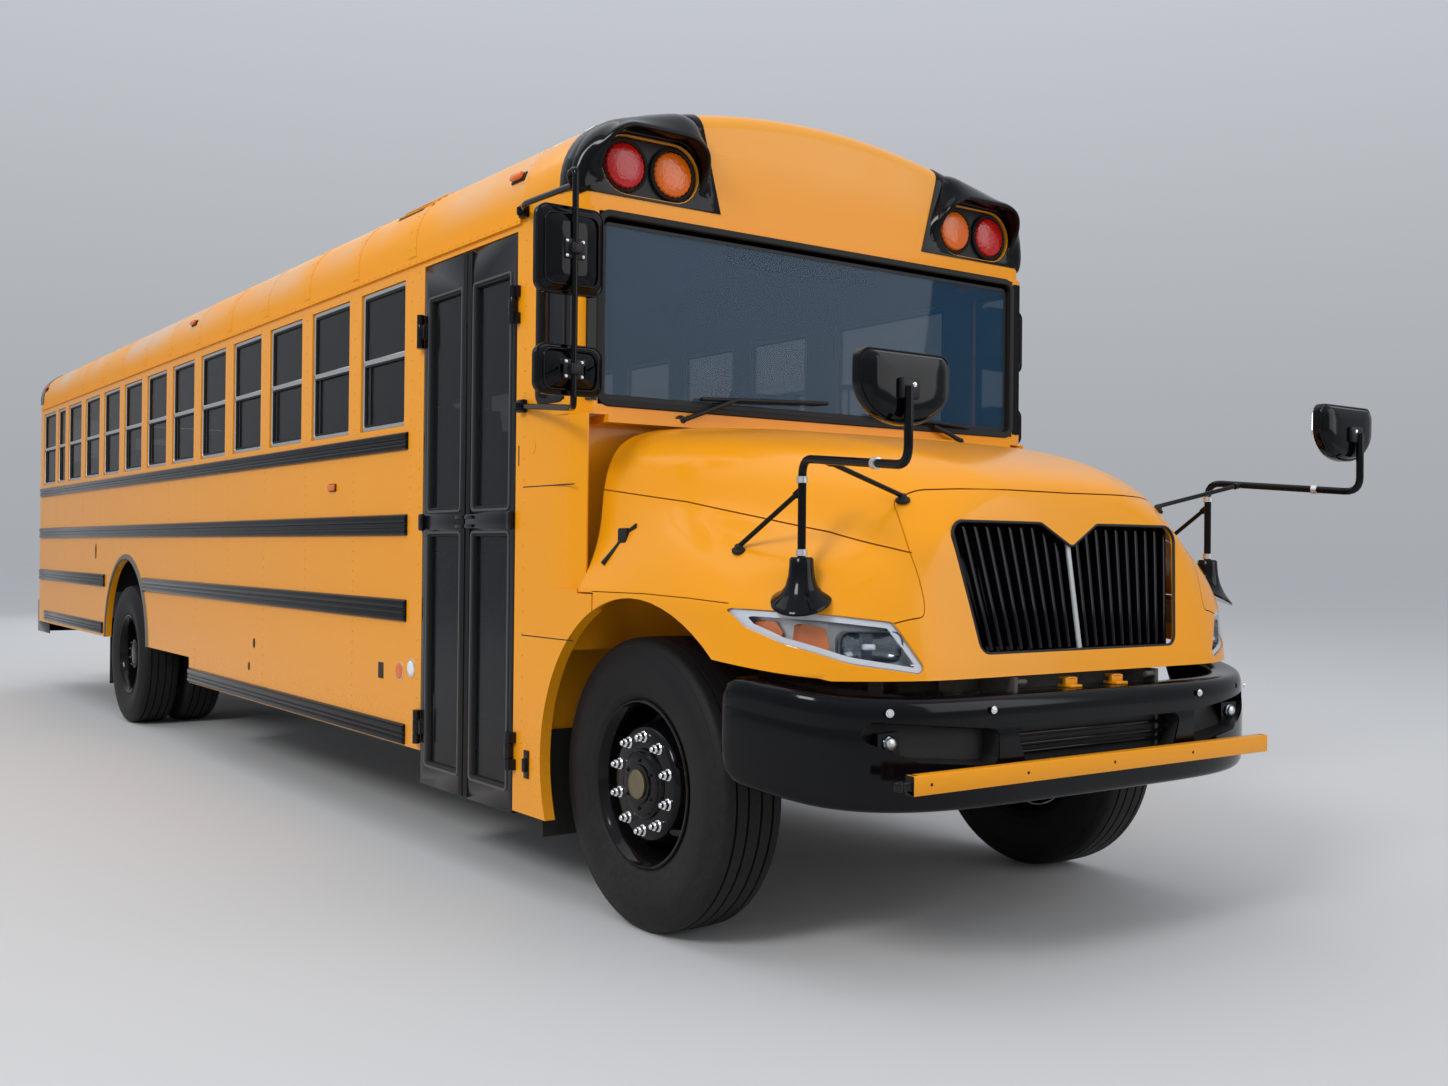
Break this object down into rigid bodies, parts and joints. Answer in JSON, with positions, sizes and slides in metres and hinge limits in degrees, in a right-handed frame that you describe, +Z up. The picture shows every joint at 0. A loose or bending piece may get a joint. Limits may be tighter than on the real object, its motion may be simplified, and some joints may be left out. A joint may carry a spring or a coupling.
{
  "type": "school bus",
  "caption": "Long conventional school bus with a tilting hood, folding entrance door, rear emergency door, roof hatches, steering front wheels and swinging signal arms.",
  "frame": {"origin": "on the ground under the middle of the bus, half-way between its foremost and rearmost points", "axes": "+X forward, +Y to the bus's left, +Z up"},
  "size_m": [12.17, 2.996, 3.24],
  "materials": {
    "body_paint": "gloss",
    "black_paint": "gloss",
    "black_plastic": "satin",
    "gloss_black_plastic": "gloss",
    "rubber": "matte",
    "tyre": "matte",
    "aluminium": "satin",
    "tinted_glass": "gloss",
    "lamp_lens": "gloss",
    "clear_lens": "gloss",
    "vinyl_seat": "satin",
    "floor_rubber": "matte",
    "chassis_paint": "satin",
    "cast_metal": "rough",
    "tank_steel": "satin",
    "exhaust_steel": "worn",
    "sign_red": "gloss"
  },
  "bodies": {
    "bus": {"chassis_frame": "chassis_paint", "tow_eyes": "chassis_paint", "engine": "cast_metal", "front_axle": "chassis_paint", "rear_axle": "chassis_paint", "leaf_springs": "chassis_paint", "fuel_tank": "tank_steel", "exhaust": "exhaust_steel", "floor": "floor_rubber", "stepwell": "floor_rubber", "side_wall_right_front": "body_paint", "side_wall_right_rear": "body_paint", "side_wall_left_front": "body_paint", "side_wall_left_rear": "body_paint", "window_sashes": "aluminium", "window_glass": "tinted_glass", "rub_rails": "black_paint", "roof": "body_paint", "front_cap": "body_paint", "lamp_visors": "gloss_black_plastic", "signal_lamps": "lamp_lens", "front_wall": "body_paint", "cowl": "body_paint", "windshield": "tinted_glass", "rear_wall": "body_paint", "seats": "vinyl_seat", "dashboard": "black_plastic", "front_bumper": "gloss_black_plastic", "rear_bumper": "black_paint", "side_mirrors": "black_plastic", "mud_flaps": "rubber", "hinge_posts": "black_paint"},
    "hood": {"hood": "body_paint", "fascia": "body_paint", "grille": "black_plastic", "headlights": "clear_lens", "crossview_mirrors": "black_plastic"},
    "knuckle_right": {"knuckle_right": "chassis_paint"},
    "knuckle_left": {"knuckle_left": "chassis_paint"},
    "tie_rod": {"tie_rod": "chassis_paint"},
    "steering_wheel": {"steering_wheel": "black_plastic"},
    "front_wheel_right": {"front_tyre_right": "tyre", "front_rim_right": "black_paint"},
    "front_wheel_left": {"front_tyre_left": "tyre", "front_rim_left": "black_paint"},
    "rear_wheels_right": {"rear_tyres_right": "tyre", "rear_rims_right": "black_paint"},
    "rear_wheels_left": {"rear_tyres_left": "tyre", "rear_rims_left": "black_paint"},
    "door_leaf_front": {"door_leaf_front": "black_paint", "door_glass_front": "tinted_glass"},
    "door_leaf_rear": {"door_leaf_rear": "black_paint", "door_glass_rear": "tinted_glass"},
    "rear_door": {"rear_door": "body_paint", "rear_door_glass": "tinted_glass"},
    "roof_hatch_front": {"roof_hatch_front": "body_paint"},
    "roof_hatch_rear": {"roof_hatch_rear": "body_paint"},
    "crossing_arm": {"crossing_arm": "body_paint"},
    "stop_arm": {"stop_arm": "sign_red"}
  },
  "joints": [
    {"name": "hood_tilt", "type": "hinge", "parent": "bus", "child": "hood", "pos_m": [5.75, 0, 0.94], "axis": [0, 1, 0], "range_deg": [0, 65]},
    {"name": "steer_right", "type": "hinge", "parent": "bus", "child": "knuckle_right", "pos_m": [4.665, -0.9, 0.525], "axis": [0, 0, 1], "range_deg": [-35, 35]},
    {"name": "steer_left", "type": "hinge", "parent": "bus", "child": "knuckle_left", "pos_m": [4.665, 0.9, 0.525], "axis": [0, 0, 1], "range_deg": [-35, 35]},
    {"name": "tie_rod_swing", "type": "hinge", "parent": "knuckle_right", "child": "tie_rod", "pos_m": [4.515, -0.9, 0.414], "axis": [0, 0, 1], "range_deg": [-35, 35]},
    {"name": "steering_wheel_turn", "type": "hinge", "parent": "bus", "child": "steering_wheel", "pos_m": [3.889, 0.62, 1.846], "axis": [-0.4384, 0, 0.8988], "range_deg": [-560, 560]},
    {"name": "front_wheel_right_spin", "type": "hinge", "parent": "knuckle_right", "child": "front_wheel_right", "pos_m": [4.665, -0.989, 0.525], "axis": [0, 1, 0], "continuous": true},
    {"name": "front_wheel_left_spin", "type": "hinge", "parent": "knuckle_left", "child": "front_wheel_left", "pos_m": [4.665, 0.989, 0.525], "axis": [0, 1, 0], "continuous": true},
    {"name": "rear_wheels_right_spin", "type": "hinge", "parent": "bus", "child": "rear_wheels_right", "pos_m": [-2.515, -0.912, 0.525], "axis": [0, 1, 0], "continuous": true},
    {"name": "rear_wheels_left_spin", "type": "hinge", "parent": "bus", "child": "rear_wheels_left", "pos_m": [-2.515, 0.912, 0.525], "axis": [0, 1, 0], "continuous": true},
    {"name": "door_front_swing", "type": "hinge", "parent": "bus", "child": "door_leaf_front", "pos_m": [3.894, -1.239, 1.45], "axis": [0, 0, 1], "range_deg": [0, 90]},
    {"name": "door_rear_swing", "type": "hinge", "parent": "bus", "child": "door_leaf_rear", "pos_m": [3.002, -1.239, 1.45], "axis": [0, 0, 1], "range_deg": [-90, 0]},
    {"name": "rear_door_swing", "type": "hinge", "parent": "bus", "child": "rear_door", "pos_m": [-5.995, -0.486, 1.78], "axis": [0, 0, 1], "range_deg": [0, 110]},
    {"name": "hatch_front_lift", "type": "hinge", "parent": "bus", "child": "roof_hatch_front", "pos_m": [1.445, 0, 3.202], "axis": [0, 1, 0], "range_deg": [0, 85]},
    {"name": "hatch_rear_lift", "type": "hinge", "parent": "bus", "child": "roof_hatch_rear", "pos_m": [-3.405, 0, 3.202], "axis": [0, 1, 0], "range_deg": [0, 85]},
    {"name": "crossing_arm_swing", "type": "hinge", "parent": "bus", "child": "crossing_arm", "pos_m": [5.878, -0.99, 0.675], "axis": [0, 0, -1], "range_deg": [0, 90]},
    {"name": "stop_arm_swing", "type": "hinge", "parent": "bus", "child": "stop_arm", "pos_m": [2.645, 1.246, 1.66], "axis": [0, 0, -1], "range_deg": [0, 90]}
  ],
  "couplings": [
    {"joint": "steer_left", "follows": "steer_right", "ratio": 1},
    {"joint": "tie_rod_swing", "follows": "steer_right", "ratio": -1},
    {"joint": "steering_wheel_turn", "follows": "steer_right", "ratio": 16},
    {"joint": "door_rear_swing", "follows": "door_front_swing", "ratio": -1}
  ]
}
